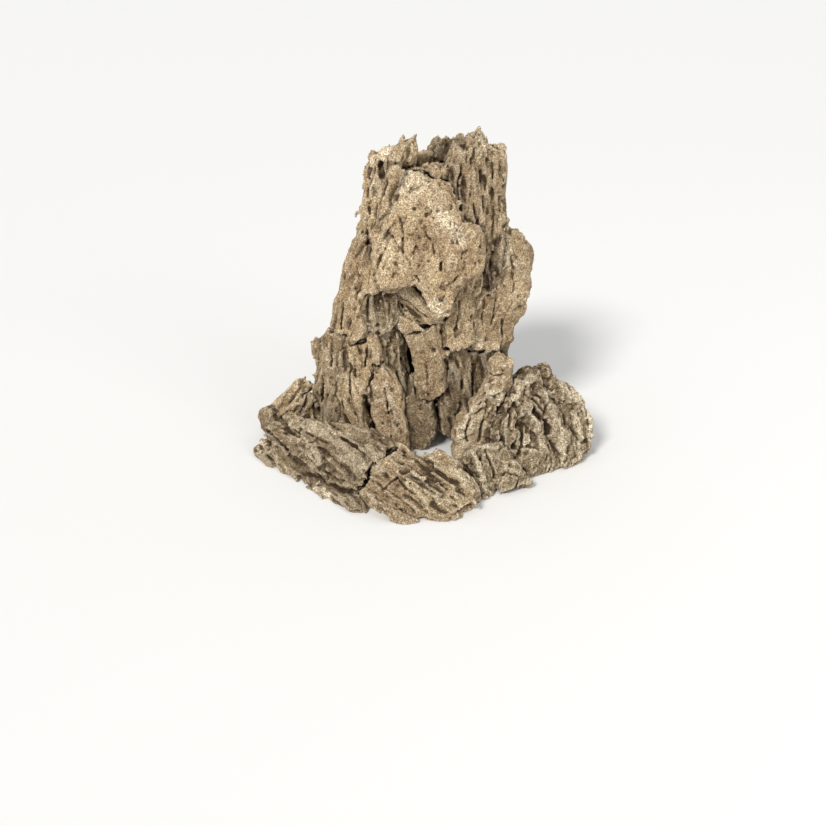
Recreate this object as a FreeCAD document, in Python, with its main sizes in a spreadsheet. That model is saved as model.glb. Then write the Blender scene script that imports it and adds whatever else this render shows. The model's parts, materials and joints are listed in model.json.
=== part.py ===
import FreeCAD, Part
import math
import os
import Sketcher

# Aquarium cave set: a hollow tower of bonded, wood-grained stone slabs with
# loose base stones standing round its foot.
# Frame: +Z up, the cave mouth faces -Y, floor at z = 0, origin under the middle
# of the set's bounding box. Millimetres.

V = FreeCAD.Vector

# name, width, height, thickness, yaw deg, lean deg, lower-left corner of the face,
# face outline as fractions of width and height (anticlockwise seen from outside),
# the stones it is fitted against
STONES = [
    # not a stone: the room that the front centre stone needs, left free by its neighbour
    ("front_centre_room", 114.0, 87.6, 43.0, 2, 46, (-59.4, -125.1, -1.5),
     [(0.100, 0.297), (0.206, 0.173), (0.311, 0.072), (0.482, 0.025), (0.616, 0.097),
      (0.756, 0.116), (0.840, 0.179), (0.950, 0.253), (0.981, 0.419), (0.927, 0.532),
      (0.873, 0.668), (0.784, 0.783), (0.643, 0.866), (0.500, 0.870), (0.384, 0.975),
      (0.308, 0.954), (0.240, 0.864), (0.147, 0.787), (0.138, 0.708), (0.079, 0.664),
      (0.053, 0.542), (0.019, 0.442)],
     []),
    # hangs in front, its tongue over the cave mouth
    ("face_slab", 102.4, 134.4, 30, -6, 9, (-51.7, 5.6, 143.3),
     [(0.233, 0.831), (0.234, 0.754), (0.183, 0.669), (0.106, 0.622), (0.045, 0.562),
      (0.019, 0.403), (0.055, 0.270), (0.109, 0.190), (0.206, 0.200), (0.285, 0.236),
      (0.408, 0.233), (0.462, 0.194), (0.508, 0.107), (0.572, 0.034), (0.635, 0.015),
      (0.705, 0.031), (0.739, 0.066), (0.777, 0.203), (0.835, 0.271), (0.920, 0.320),
      (0.978, 0.368), (0.981, 0.493), (0.949, 0.609), (0.878, 0.672), (0.791, 0.709),
      (0.762, 0.810), (0.708, 0.878), (0.606, 0.908), (0.512, 0.938), (0.443, 0.974),
      (0.375, 0.985), (0.307, 0.959), (0.274, 0.927)],
     []),
    # short step behind the top of the face slab
    ("tier_slab", 55.5, 56.4, 22, 0, 6, (-24.0, 29.5, 223.0),
     [(0.036, 0.412), (0.195, 0.177), (0.677, 0.035), (0.964, 0.193), (0.926, 0.567),
      (0.873, 0.934), (0.778, 0.965), (0.684, 0.904), (0.558, 0.919), (0.227, 0.889),
      (0.086, 0.858)],
     ["face_slab"]),
    # left shoulder of the chimney
    ("left_column", 54.8, 182.4, 38, -8, 3, (-65.7, 32.9, 119.8),
     [(0.036, 0.172), (0.098, 0.011), (0.446, 0.017), (0.758, 0.183), (0.790, 0.493),
      (0.854, 0.691), (0.901, 0.836), (0.964, 0.921), (0.946, 0.981), (0.787, 0.989),
      (0.579, 0.950), (0.450, 0.930), (0.223, 0.905), (0.138, 0.824), (0.150, 0.732),
      (0.110, 0.590), (0.184, 0.383)],
     ["face_slab", "tier_slab"]),
    # wedge between column and face
    ("left_rib", 26.7, 58.7, 14, -10, 6, (-42.7, 24.7, 219.1),
     [(0.268, 0.636), (0.105, 0.306), (0.075, 0.034), (0.412, 0.133), (0.744, 0.320),
      (0.868, 0.648), (0.925, 0.912), (0.725, 0.966), (0.428, 0.946)],
     ["face_slab", "tier_slab", "left_column"]),
    # tallest stone, right side of the chimney
    ("right_column", 53.4, 157.3, 40, 6, 3, (23.1, 25.2, 150.9),
     [(0.037, 0.781), (0.041, 0.665), (0.099, 0.466), (0.209, 0.261), (0.359, 0.018),
      (0.798, 0.013), (0.893, 0.312), (0.951, 0.417), (0.963, 0.474), (0.873, 0.521),
      (0.863, 0.629), (0.886, 0.735), (0.889, 0.877), (0.820, 0.905), (0.653, 0.938),
      (0.519, 0.987), (0.422, 0.972), (0.262, 0.909), (0.181, 0.888), (0.134, 0.851)],
     ["face_slab", "tier_slab"]),
    # small block at the back of the chimney
    ("back_top_block", 23.4, 33.5, 13, 0, 0, (-14.3, 81.8, 243.8),
     [(0.124, 0.060), (0.881, 0.060), (0.914, 0.558), (0.870, 0.940), (0.086, 0.940)],
     []),
    # full-height back wall
    ("back_centre_slab", 99.4, 295.7, 24, 0, 2, (-40.6, 81.5, -5.0),
     [(0.238, 0.829), (0.158, 0.633), (0.071, 0.319), (0.020, 0.007), (0.966, 0.007),
      (0.980, 0.007), (0.870, 0.462), (0.803, 0.860), (0.748, 0.984), (0.692, 0.993),
      (0.619, 0.981), (0.508, 0.972), (0.480, 0.954), (0.267, 0.947)],
     ["back_top_block"]),
    # overhangs on the right
    ("flank_slab", 66.1, 123.0, 32, 10, 4, (37.4, 19.7, 97.2),
     [(0.355, 0.827), (0.218, 0.695), (0.109, 0.523), (0.084, 0.328), (0.030, 0.115),
      (0.090, 0.048), (0.281, 0.024), (0.472, 0.016), (0.575, 0.045), (0.704, 0.113),
      (0.756, 0.240), (0.856, 0.292), (0.926, 0.338), (0.959, 0.494), (0.952, 0.595),
      (0.970, 0.763), (0.906, 0.863), (0.816, 0.933), (0.716, 0.951), (0.588, 0.984),
      (0.463, 0.943)],
     ["right_column"]),
    # between the tongue and the flank
    ("right_rib", 44.0, 83.6, 24, 6, 2, (13.5, 16.1, 102.8),
     [(0.255, 0.497), (0.045, 0.397), (0.094, 0.028), (0.245, 0.024), (0.501, 0.066),
      (0.715, 0.109), (0.722, 0.429), (0.773, 0.706), (0.955, 0.861), (0.844, 0.976),
      (0.702, 0.911), (0.496, 0.836), (0.353, 0.725)],
     ["face_slab", "right_column", "flank_slab"]),
    # behind the tongue
    ("inner_diagonal_slab", 46.6, 51.2, 22, 0, 8, (-29.0, 20.2, 119.7),
     [(0.043, 0.688), (0.101, 0.412), (0.179, 0.095), (0.339, 0.039), (0.739, 0.114),
      (0.957, 0.282), (0.817, 0.375), (0.657, 0.578), (0.537, 0.834), (0.281, 0.943),
      (0.084, 0.961)],
     ["face_slab", "left_column", "right_rib"]),
    # hanging shard over the cave mouth
    ("central_shard", 48.9, 86.8, 24, -4, 4, (-22.1, 18.4, 49.6),
     [(0.176, 0.650), (0.235, 0.524), (0.296, 0.291), (0.338, 0.067), (0.575, 0.023),
      (0.789, 0.099), (0.884, 0.196), (0.839, 0.395), (0.814, 0.580), (0.947, 0.629),
      (0.959, 0.823), (0.764, 0.977), (0.175, 0.833), (0.041, 0.842)],
     ["right_rib", "inner_diagonal_slab"]),
    # stands under the shard
    ("foot_wedge", 35.4, 83.8, 22, -6, 4, (-24.4, 15.4, -5.0),
     [(0.247, 0.766), (0.056, 0.687), (0.057, 0.524), (0.141, 0.362), (0.198, 0.024),
      (0.422, 0.024), (0.645, 0.024), (0.944, 0.291), (0.937, 0.481), (0.848, 0.680),
      (0.520, 0.722), (0.434, 0.955), (0.298, 0.976)],
     ["central_shard"]),
    # striped stone set back in the left slit
    ("inner_left_wall", 26.3, 77.8, 20, -10, 2, (-43.1, 29.9, 51.4),
     [(0.076, 0.674), (0.109, 0.490), (0.404, 0.338), (0.626, 0.155), (0.851, 0.026),
      (0.924, 0.272), (0.738, 0.507), (0.811, 0.732), (0.702, 0.974), (0.118, 0.909)],
     []),
    # row of upright blades
    ("left_blades", 43.3, 45.9, 22, -12, 5, (-64.0, 28.1, 120.7),
     [(0.135, 0.049), (0.314, 0.063), (0.603, 0.044), (0.954, 0.220), (0.903, 0.760),
      (0.770, 0.956), (0.531, 0.919), (0.246, 0.920), (0.136, 0.704), (0.046, 0.234)],
     ["left_column", "inner_diagonal_slab", "inner_left_wall"]),
    # steps down from the face to the left
    ("left_shoulder", 48.0, 105.2, 34, -18, 6, (-88.9, 28.6, 109.7),
     [(0.464, 0.877), (0.365, 0.759), (0.408, 0.620), (0.308, 0.535), (0.124, 0.390),
      (0.104, 0.233), (0.042, 0.137), (0.084, 0.084), (0.294, 0.068), (0.421, 0.019),
      (0.670, 0.071), (0.709, 0.147), (0.603, 0.233), (0.640, 0.381), (0.758, 0.495),
      (0.958, 0.549), (0.853, 0.668), (0.784, 0.883), (0.661, 0.981)],
     ["face_slab", "left_column", "left_blades"]),
    # outermost left upright
    ("left_outer_stone", 38.2, 131.6, 34, -26, 4, (-116.1, 31.7, -5.0),
     [(0.807, 0.985), (0.523, 0.963), (0.378, 0.910), (0.086, 0.833), (0.052, 0.746),
      (0.102, 0.552), (0.069, 0.471), (0.393, 0.015), (0.803, 0.015), (0.862, 0.566),
      (0.863, 0.837), (0.948, 0.932)],
     ["left_shoulder"]),
    # broad left foot
    ("left_mid_slab", 53.3, 132.0, 30, -14, 6, (-91.2, 17.4, -5.0),
     [(0.042, 0.711), (0.040, 0.557), (0.037, 0.346), (0.171, 0.015), (0.362, 0.015),
      (0.552, 0.015), (0.684, 0.015), (0.625, 0.421), (0.698, 0.518), (0.696, 0.594),
      (0.767, 0.704), (0.949, 0.757), (0.963, 0.899), (0.887, 0.985), (0.724, 0.978),
      (0.615, 0.930), (0.358, 0.882), (0.266, 0.931), (0.117, 0.828)],
     ["inner_left_wall", "left_blades", "left_shoulder", "left_outer_stone"]),
    # left jamb of the slit
    ("left_leg_slab", 42.1, 100.5, 24, -8, 5, (-56.2, 11.8, -5.0),
     [(0.140, 0.924), (0.048, 0.811), (0.068, 0.628), (0.113, 0.423), (0.228, 0.301),
      (0.439, 0.020), (0.626, 0.020), (0.813, 0.020), (0.953, 0.020), (0.903, 0.321),
      (0.808, 0.454), (0.780, 0.750), (0.642, 0.847), (0.505, 0.913), (0.391, 0.980)],
     ["foot_wedge", "inner_left_wall", "left_mid_slab"]),
    # low chip against the left foot
    ("left_inner_chip", 43.4, 65.3, 18, -30, 4, (-124.3, 35.7, -5.0),
     [(0.072, 0.031), (0.434, 0.031), (0.846, 0.446), (0.954, 0.628), (0.873, 0.825),
      (0.630, 0.899), (0.468, 0.969), (0.248, 0.886), (0.137, 0.819), (0.046, 0.459)],
     ["left_outer_stone", "left_mid_slab"]),
    # low chip beyond it
    ("left_rear_chip", 51.9, 70.9, 20, -35, 4, (-157.7, 54.5, -5.0),
     [(0.087, 0.028), (0.426, 0.028), (0.834, 0.383), (0.886, 0.607), (0.962, 0.848),
      (0.840, 0.972), (0.717, 0.962), (0.463, 0.747), (0.150, 0.530), (0.043, 0.431),
      (0.038, 0.028)],
     ["left_outer_stone", "left_inner_chip"]),
    # last low chip
    ("left_far_chip", 24.2, 38.1, 15, -38, 4, (-168.0, 55.1, -5.0),
     [(0.083, 0.385), (0.310, 0.052), (0.789, 0.295), (0.917, 0.640), (0.868, 0.918),
      (0.578, 0.948), (0.101, 0.797)],
     ["left_rear_chip"]),
    # loose, long, lies sloping towards the front left
    ("front_left_stone", 162.5, 81.5, 30, -44, 38, (-176.4, 5.7, -5.4),
     [(0.070, 0.095), (0.189, 0.082), (0.391, 0.111), (0.536, 0.075), (0.745, 0.060),
      (0.920, 0.025), (0.958, 0.057), (0.971, 0.139), (0.947, 0.191), (0.901, 0.236),
      (0.861, 0.288), (0.887, 0.382), (0.914, 0.499), (0.941, 0.665), (0.986, 0.771),
      (0.988, 0.892), (0.938, 0.902), (0.835, 0.959), (0.757, 0.976), (0.651, 0.923),
      (0.505, 0.855), (0.310, 0.754), (0.153, 0.707), (0.091, 0.585), (0.044, 0.445),
      (0.012, 0.316), (0.026, 0.194)],
     ["front_centre_room"]),
    # loose, lies before the cave mouth
    ("front_centre_stone", 105.6, 81.1, 36, 2, 46, (-55.3, -120.5, -1.4),
     [(0.100, 0.297), (0.206, 0.173), (0.311, 0.072), (0.482, 0.025), (0.616, 0.097),
      (0.756, 0.116), (0.840, 0.179), (0.950, 0.253), (0.981, 0.419), (0.927, 0.532),
      (0.873, 0.668), (0.784, 0.783), (0.643, 0.866), (0.500, 0.870), (0.384, 0.975),
      (0.308, 0.954), (0.240, 0.864), (0.147, 0.787), (0.138, 0.708), (0.079, 0.664),
      (0.053, 0.542), (0.019, 0.442)],
     []),
    # loose group at the right: the knobby main stone
    ("right_main_stone", 107.3, 110.0, 52, 24, 27, (77.6, -51.2, -5.1),
     [(0.178, 0.753), (0.086, 0.598), (0.019, 0.371), (0.037, 0.178), (0.103, 0.026),
      (0.221, 0.018), (0.362, 0.067), (0.605, 0.052), (0.747, 0.084), (0.889, 0.162),
      (0.981, 0.296), (0.981, 0.394), (0.931, 0.555), (0.927, 0.635), (0.841, 0.722),
      (0.772, 0.787), (0.632, 0.855), (0.671, 0.945), (0.608, 0.982), (0.525, 0.978),
      (0.435, 0.933), (0.317, 0.944), (0.244, 0.879)],
     []),
    # upright spur bonded to the main stone
    ("right_spur_stone", 59.4, 113.0, 22, 10, 10, (30.3, -20.4, -5.0),
     [(0.611, 0.888), (0.626, 0.802), (0.512, 0.738), (0.430, 0.638), (0.282, 0.558),
      (0.101, 0.443), (0.034, 0.359), (0.047, 0.018), (0.242, 0.018), (0.503, 0.018),
      (0.702, 0.018), (0.736, 0.362), (0.836, 0.586), (0.934, 0.738), (0.966, 0.857),
      (0.966, 0.951), (0.805, 0.982), (0.644, 0.963)],
     ["right_main_stone"]),
    # low wedge bonded in front of it
    ("right_front_stone", 66.1, 57.9, 30, 14, 40, (37.4, -78.7, -1.5),
     [(0.137, 0.542), (0.220, 0.243), (0.231, 0.035), (0.421, 0.054), (0.543, 0.099),
      (0.683, 0.158), (0.970, 0.212), (0.872, 0.421), (0.790, 0.725), (0.675, 0.920),
      (0.463, 0.966), (0.252, 0.913), (0.124, 0.834), (0.030, 0.686)],
     ["right_main_stone"]),
    # back left wall
    ("back_left_slab", 90.5, 275.8, 26, 24, 3, (-94.7, 40.8, -5.0),
     [(0.253, 0.425), (0.097, 0.245), (0.022, 0.007), (0.785, 0.007), (0.884, 0.578),
      (0.978, 0.857), (0.922, 0.993), (0.766, 0.978), (0.663, 0.948), (0.610, 0.870),
      (0.476, 0.703), (0.399, 0.636)],
     ["left_column", "back_centre_slab", "left_shoulder", "left_outer_stone"]),
    # back right wall
    ("back_right_slab", 52.3, 272.9, 28, -24, 3, (29.0, 70.1, -5.0),
     [(0.038, 0.662), (0.147, 0.366), (0.243, 0.007), (0.962, 0.007), (0.911, 0.237),
      (0.936, 0.467), (0.849, 0.675), (0.671, 0.818), (0.525, 0.990), (0.301, 0.993),
      (0.072, 0.928)],
     ["right_column", "back_centre_slab", "flank_slab"]),
    # wall above the low cave mouth
    ("cave_wall", 66.8, 128.3, 20, 4, 1, (3.7, 22.5, -1.7),
     [(0.039, 0.167), (0.098, 0.114), (0.187, 0.130), (0.291, 0.102), (0.425, 0.082),
      (0.543, 0.105), (0.667, 0.016), (0.756, 0.031), (0.803, 0.238), (0.911, 0.406),
      (0.970, 0.612), (0.940, 0.847), (0.737, 0.897), (0.380, 0.982), (0.183, 0.984),
      (0.030, 0.869)],
     ["flank_slab", "right_rib", "central_shard", "foot_wedge"]),
]

# Sections through each stone: fraction of its thickness behind the face, scale about
# the middle of the outline. The rims are broken off all round, front and back.
SECTIONS = [(0.0, 0.93), (0.14, 1.0), (0.8, 1.0), (1.0, 0.9)]

doc = FreeCAD.newDocument("cave_set")
sheet = doc.addObject("Spreadsheet::Sheet", "dims")
row = 1


def cell(alias, value):
    global row
    sheet.set("A%d" % row, alias)
    sheet.set("B%d" % row, "%g" % value)
    sheet.setAlias("B%d" % row, alias)
    row += 1


cell("floor_depth", 120)
cell("floor_span", 700)
for name, wide, high, thick, yaw, lean, corner, outline, fitted in STONES:
    cell(name + "_wide", wide)
    cell(name + "_high", high)
    cell(name + "_thick", thick)
    cell(name + "_posx", corner[0])
    cell(name + "_posy", corner[1])
    cell(name + "_posz", corner[2])
doc.recompute()

# Everything below z = 0 is ground away, so every stone that reaches it stands flat.
ground = doc.addObject("Part::Box", "ground")
ground.setExpression("Length", "dims.floor_span")
ground.setExpression("Width", "dims.floor_span")
ground.setExpression("Height", "dims.floor_depth")
ground.setExpression("Placement.Base.x", "-dims.floor_span / 2")
ground.setExpression("Placement.Base.y", "-dims.floor_span / 2")
ground.setExpression("Placement.Base.z", "-dims.floor_depth")


def face_rotation(yaw, lean):
    """Local X along the face, local Y up the face, local Z out of it."""
    return FreeCAD.Rotation(V(0, 0, 1), yaw).multiply(FreeCAD.Rotation(V(1, 0, 0), 90 - lean))


def section_sketch(body, name, key, outline, middle, depth, scale, wide, high):
    """One closed outline, every corner held by the stone's width and height."""
    plane = [f for f in body.Origin.OriginFeatures if f.Role == "XY_Plane"][0]
    sk = body.newObject("Sketcher::SketchObject", name)
    sk.AttachmentSupport = [(plane, "")]
    sk.MapMode = "FlatFace"
    fr = [(middle[0] + scale * (a - middle[0]), middle[1] + scale * (b - middle[1])) for a, b in outline]
    pts = [V(a * wide, b * high, 0) for a, b in fr]
    n = len(pts)
    sk.addGeometry([Part.LineSegment(pts[i], pts[(i + 1) % n]) for i in range(n)], False)
    rules = [Sketcher.Constraint("Coincident", i, 2, (i + 1) % n, 1) for i in range(n)]
    for i in range(n):
        rules.append(Sketcher.Constraint("DistanceX", -1, 1, i, 1, pts[i].x))
        rules.append(Sketcher.Constraint("DistanceY", -1, 1, i, 1, pts[i].y))
    sk.addConstraint(rules)
    for i in range(n):
        sk.setExpression("Constraints[%d]" % (n + 2 * i), "dims.%s_wide * %.5f" % (key, fr[i][0]))
        sk.setExpression("Constraints[%d]" % (n + 2 * i + 1), "dims.%s_high * %.5f" % (key, fr[i][1]))
    sk.setExpression("AttachmentOffset.Base.z", "-dims.%s_thick * %.4f" % (key, depth))
    return sk


def blank(name, wide, high, thick, yaw, lean, corner, outline):
    """The stone before its neighbours are fitted: a ruled loft through its sections."""
    body = doc.addObject("PartDesign::Body", name + "_blank")
    mx = (min(p[0] for p in outline) + max(p[0] for p in outline)) / 2
    my = (min(p[1] for p in outline) + max(p[1] for p in outline)) / 2
    sks = [
        section_sketch(body, "%s_section_%d" % (name, i), name, outline, (mx, my), d, k, wide, high)
        for i, (d, k) in enumerate(SECTIONS)
    ]
    loft = body.newObject("PartDesign::AdditiveLoft", name + "_loft")
    loft.Profile = sks[0]
    loft.Sections = sks[1:]
    loft.Ruled = True
    loft.Closed = False
    body.Tip = loft
    body.Placement = FreeCAD.Placement(V(*corner), face_rotation(yaw, lean))
    body.setExpression("Placement.Base.x", "dims.%s_posx" % name)
    body.setExpression("Placement.Base.y", "dims.%s_posy" % name)
    body.setExpression("Placement.Base.z", "dims.%s_posz" % name)
    return body


def cut(name, base, tool):
    c = doc.addObject("Part::Cut", name)
    c.Base = base
    c.Tool = tool
    return c


ON_THE_FLOOR = {
    "back_centre_slab", "foot_wedge", "left_outer_stone", "left_mid_slab", "left_leg_slab",
    "left_inner_chip", "left_rear_chip", "left_far_chip", "front_left_stone",
    "front_centre_stone", "right_main_stone", "right_spur_stone", "right_front_stone",
    "back_left_slab", "back_right_slab",
}

blanks = {r[0]: blank(*r[:8]) for r in STONES}
doc.recompute()

# Each stone is trimmed to its neighbours, so the bonded faces meet exactly.
stones = {}
for r in STONES:
    name, fitted = r[0], r[8]
    piece = blanks[name]
    if name in ON_THE_FLOOR:
        piece = cut(name + "_foot", piece, ground)
    for k, other in enumerate(fitted):
        piece = cut("%s_fit_%d" % (name, k + 1), piece, stones[other])
    stones[name] = piece
room = stones.pop("front_centre_room")
for name, piece in stones.items():
    piece.Label = name
doc.recompute()

for obj in doc.Objects:
    if "Invalid" in obj.State or "Error" in obj.State:
        raise RuntimeError("%s failed: %s" % (obj.Label, obj.State))
for name, piece in stones.items():
    shape = piece.Shape
    if shape.isNull() or not shape.isValid() or len(shape.Solids) != 1:
        raise RuntimeError(name + " is not one valid solid")

os.makedirs("parts", exist_ok=True)
for name, piece in stones.items():
    piece.Shape.exportStep("parts/%s.step" % name)
    print("%-20s %9.0f mm3" % (name, piece.Shape.Volume))
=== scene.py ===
import json
import math
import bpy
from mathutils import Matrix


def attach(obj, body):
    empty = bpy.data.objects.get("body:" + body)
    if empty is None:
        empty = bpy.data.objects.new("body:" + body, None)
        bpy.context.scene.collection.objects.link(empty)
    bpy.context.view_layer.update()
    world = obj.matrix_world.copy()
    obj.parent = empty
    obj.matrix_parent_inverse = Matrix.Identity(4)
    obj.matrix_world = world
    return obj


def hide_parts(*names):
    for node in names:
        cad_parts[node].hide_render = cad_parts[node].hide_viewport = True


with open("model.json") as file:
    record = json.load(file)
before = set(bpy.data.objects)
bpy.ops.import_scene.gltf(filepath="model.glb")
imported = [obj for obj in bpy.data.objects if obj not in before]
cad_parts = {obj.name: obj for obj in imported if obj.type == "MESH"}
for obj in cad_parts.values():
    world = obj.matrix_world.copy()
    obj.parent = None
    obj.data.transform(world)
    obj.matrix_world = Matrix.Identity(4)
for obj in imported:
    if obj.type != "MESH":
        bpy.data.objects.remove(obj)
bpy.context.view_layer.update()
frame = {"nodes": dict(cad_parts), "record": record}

from concurrent.futures import ThreadPoolExecutor

import bpy
import numpy as np
import openvdb as vdb
from mathutils import Vector

# ---------------------------------------------------------------------------------------------
# Every stone of the cave set is carved again from its CAD solid: the solid is turned into a
# distance field on a grid of about 1 mm, the field is worn back and built up with wood-grain plates,
# ragged ends, cracks, lumps and pits, and the result is meshed. Millimetres inside, metres out.
# ---------------------------------------------------------------------------------------------

PITCH = 1.05       # grid pitch, mm; the unseen back stones take a coarser one
REACH = 8.5        # half width of the distance field, mm
f4 = np.float32


# ---- noise ----------------------------------------------------------------------------------
L = 64
MASK = L - 1
_lat = {}


def lattice(seed):
    if seed not in _lat:
        _lat[seed] = np.random.default_rng(1000 + seed).random(L * L * L, dtype=f4)
    return _lat[seed]


for _s in range(60):
    lattice(_s)


def vnoise(x, y, z, seed):
    """Value noise, 0..1, one feature per unit."""
    lat = lattice(seed % 60)
    off = (seed * 17.31) % 61.0
    x = x + f4(off)
    y = y + f4(off * 1.7)
    z = z + f4(off * 2.3)
    xi = np.floor(x).astype(np.int32)
    yi = np.floor(y).astype(np.int32)
    zi = np.floor(z).astype(np.int32)
    fx = x - xi
    fy = y - yi
    fz = z - zi
    fx = fx * fx * (3 - 2 * fx)
    fy = fy * fy * (3 - 2 * fy)
    fz = fz * fz * (3 - 2 * fz)
    x0 = (xi & MASK) * (L * L)
    x1 = ((xi + 1) & MASK) * (L * L)
    y0 = (yi & MASK) * L
    y1 = ((yi + 1) & MASK) * L
    z0 = zi & MASK
    z1 = (zi + 1) & MASK
    a = lat[x0 + y0 + z0]
    a += fx * (lat[x1 + y0 + z0] - a)
    b = lat[x0 + y1 + z0]
    b += fx * (lat[x1 + y1 + z0] - b)
    a += fy * (b - a)
    c = lat[x0 + y0 + z1]
    c += fx * (lat[x1 + y0 + z1] - c)
    d = lat[x0 + y1 + z1]
    d += fx * (lat[x1 + y1 + z1] - d)
    c += fy * (d - c)
    return a + fz * (c - a)


def fbm(x, y, z, seed, octaves=3, gain=0.5):
    """-1..1"""
    out = np.zeros_like(x)
    amp, tot, k = 1.0, 0.0, 1.0
    for o in range(octaves):
        out += f4(amp) * (vnoise(x * f4(k), y * f4(k), z * f4(k), seed + o) * 2 - 1)
        tot += amp
        amp *= gain
        k *= 2.03
    return out / f4(tot)


def cells(x, y, z, seed, jitter=0.8):
    """Nearest and second nearest scattered point: distances and the nearest one's own value."""
    la, lb, lc, ld = (lattice((seed + i) % 60) for i in range(4))
    x = x + f4((seed * 5.13) % 57)
    y = y + f4((seed * 7.77) % 53)
    z = z + f4((seed * 3.91) % 59)
    xb = np.floor(x - 0.5).astype(np.int32)
    yb = np.floor(y - 0.5).astype(np.int32)
    zb = np.floor(z - 0.5).astype(np.int32)
    f1 = np.full(x.shape, 9, f4)
    f2 = np.full(x.shape, 9, f4)
    val = np.zeros(x.shape, f4)
    j = f4(jitter)
    for dx in (0, 1):
        for dy in (0, 1):
            for dz in (0, 1):
                cx, cy, cz = xb + dx, yb + dy, zb + dz
                k = (cx & MASK) * (L * L) + (cy & MASK) * L + (cz & MASK)
                ex = cx + f4(0.5) + j * (la[k] - f4(0.5)) - x
                ey = cy + f4(0.5) + j * (lb[k] - f4(0.5)) - y
                ez = cz + f4(0.5) + j * (lc[k] - f4(0.5)) - z
                d = ex * ex + ey * ey + ez * ez
                near = d < f1
                f2 = np.where(near, f1, np.minimum(f2, d))
                val = np.where(near, ld[k], val)
                f1 = np.where(near, d, f1)
    return np.sqrt(f1), np.sqrt(f2), val


def smooth(e0, e1, x):
    t = np.clip((x - e0) / (e1 - e0), 0, 1)
    return t * t * (3 - 2 * t)


def blur(a, r):
    """Box blur of a dense array, r voxels each side."""
    for ax in range(3):
        n = a.shape[ax]
        pad = [(0, 0)] * 3
        pad[ax] = (r + 1, r)
        c = np.cumsum(np.pad(a, pad, mode="edge"), axis=ax, dtype=np.float64)
        hi = np.take(c, range(2 * r + 1, 2 * r + 1 + n), axis=ax)
        lo = np.take(c, range(0, n), axis=ax)
        a = ((hi - lo) / (2 * r + 1)).astype(f4)
    return a


def sample(arr, p):
    """Trilinear lookup of a dense array at grid positions p (n, 3)."""
    n = np.array(arr.shape) - 2
    i = np.clip(np.floor(p).astype(np.int32), 0, n)
    t = (p - i).astype(f4)
    x, y, z = i.T
    u, v, w = t.T
    c = 0
    for dx in (0, 1):
        for dy in (0, 1):
            for dz in (0, 1):
                c = c + arr[x + dx, y + dy, z + dz] * (u if dx else 1 - u) * (v if dy else 1 - v) * (w if dz else 1 - w)
    return c


# ---- the stones -----------------------------------------------------------------------------
# node: yaw, lean of its face in degrees; grain: direction of the grain in the face, degrees
# from the face's horizontal; kind: how its surface breaks; amp: strength of the relief.
def row(yaw, lean, grain, kind="grain", amp=1.0, grow=0.6, seed=0, **more):
    return dict(yaw=yaw, lean=lean, grain=grain, kind=kind, amp=amp, grow=grow, seed=seed, **more)


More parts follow.
